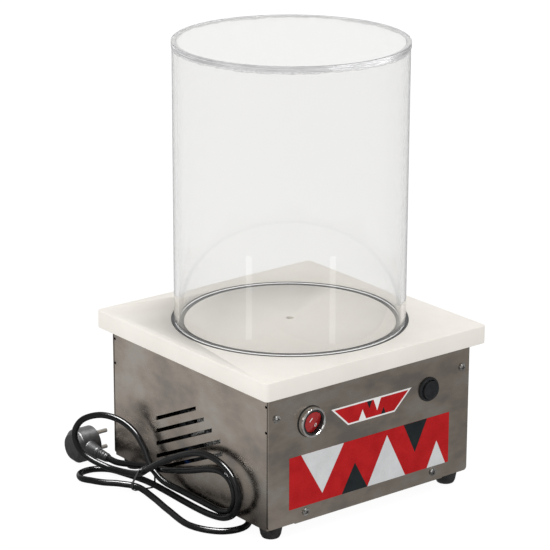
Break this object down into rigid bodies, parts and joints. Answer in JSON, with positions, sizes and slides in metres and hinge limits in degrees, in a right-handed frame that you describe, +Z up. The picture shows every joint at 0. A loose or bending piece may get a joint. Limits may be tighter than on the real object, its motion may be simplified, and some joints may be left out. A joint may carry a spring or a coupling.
{
  "type": "table-top vacuum bell machine",
  "caption": "Clear vacuum bell on a sealed white board over a steel casing with a motor-driven vane pump, rocker switch, air release button and mains lead.",
  "frame": {"origin": "centre of the casing's footprint, on the surface the rubber feet stand on", "axes": "+Z up along the bell's axis, -Y towards the front panel with the controls, +X to the right as seen from the front"},
  "size_m": [0.3493, 0.396, 0.4881],
  "materials": {
    "brushed_steel": "brushed, lightly smudged",
    "zinc_steel": "zinc plated",
    "nickel": "polished",
    "white_board": "satin polyethylene",
    "clear_acrylic": "clear",
    "acrylic_cement": "cloudy",
    "black_rubber": "matte",
    "grey_rubber": "satin",
    "label_red": "printed film",
    "switch_red": "glossy",
    "black_gloss": "glossy",
    "black_plastic": "matte",
    "brass": "machined",
    "white_plastic": "smooth",
    "silicone": "translucent",
    "cast_aluminium": "cast",
    "motor_paint": "semi-gloss paint",
    "iron": "laminated",
    "copper_wire": "enamelled copper",
    "shaft_steel": "ground",
    "wire_blue": "insulated",
    "lead_black": "glossy sheath"
  },
  "bodies": {
    "casing": {"body_shell": "brushed_steel", "front_panel": "brushed_steel", "back_panel": "brushed_steel", "panel_screws": "nickel", "rubber_feet": "black_rubber", "m4_screws": "zinc_steel", "foot_nuts": "zinc_steel", "lower_label": "label_red", "upper_label": "label_red", "top_board": "white_board", "board_brackets": "zinc_steel", "bell_seal": "grey_rubber", "switch_bezel": "nickel", "switch_body": "black_plastic", "switch_nut": "black_plastic", "switch_blades": "brass", "release_collar": "black_gloss", "release_nut": "zinc_steel", "release_spring": "shaft_steel", "valve_body": "brass", "port_elbow": "brass", "tee_fitting": "white_plastic", "port_hose": "silicone", "valve_hose": "silicone", "pump_hose": "silicone", "hose_clips": "zinc_steel", "pump_housing": "cast_aluminium", "pump_cover": "cast_aluminium", "pump_screws": "zinc_steel", "pump_inlet": "brass", "exhaust_silencer": "brass", "motor_can": "motor_paint", "motor_end_bells": "cast_aluminium", "stator_core": "iron", "stator_windings": "copper_wire", "motor_bearings": "shaft_steel", "fan_cowl": "motor_paint", "motor_bracket": "zinc_steel", "vibration_mounts": "black_rubber", "mount_bolts": "zinc_steel", "run_capacitor": "white_plastic", "terminal_block": "white_plastic", "inner_wiring": "wire_blue", "cable_gland": "black_plastic", "power_cord": "lead_black", "cord_tie": "black_plastic", "plug_body": "black_plastic", "plug_pins": "nickel"},
    "bell": {"bell_tube": "clear_acrylic", "bell_disc": "clear_acrylic", "bell_cement": "acrylic_cement"},
    "rocker": {"switch_rocker": "switch_red"},
    "release_button": {"release_cap": "black_gloss", "release_plunger": "brass", "release_seal": "black_rubber"},
    "rotor": {"motor_shaft": "shaft_steel", "motor_rotor": "cast_aluminium", "cooling_fan": "white_plastic", "pump_rotor": "iron", "pump_vanes": "black_plastic"}
  },
  "joints": [
    {"name": "bell_lift", "type": "slide", "parent": "casing", "child": "bell", "axis": [0, 0, 1], "range_m": [0, 0.34]},
    {"name": "switch_rock", "type": "hinge", "parent": "casing", "child": "rocker", "pos_m": [-0.0825, -0.1415, 0.1233], "axis": [-0.7071, 0, -0.7071], "range_deg": [0, 20]},
    {"name": "release_push", "type": "slide", "parent": "casing", "child": "release_button", "axis": [0, 1, 0], "range_m": [0, 0.004], "stiffness_N_per_m": 600, "springref_m": -0.004, "deforming": ["release_spring"]},
    {"name": "motor_spin", "type": "hinge", "parent": "casing", "child": "rotor", "pos_m": [0, 0, 0.08], "axis": [1, 0, 0], "continuous": true}
  ]
}
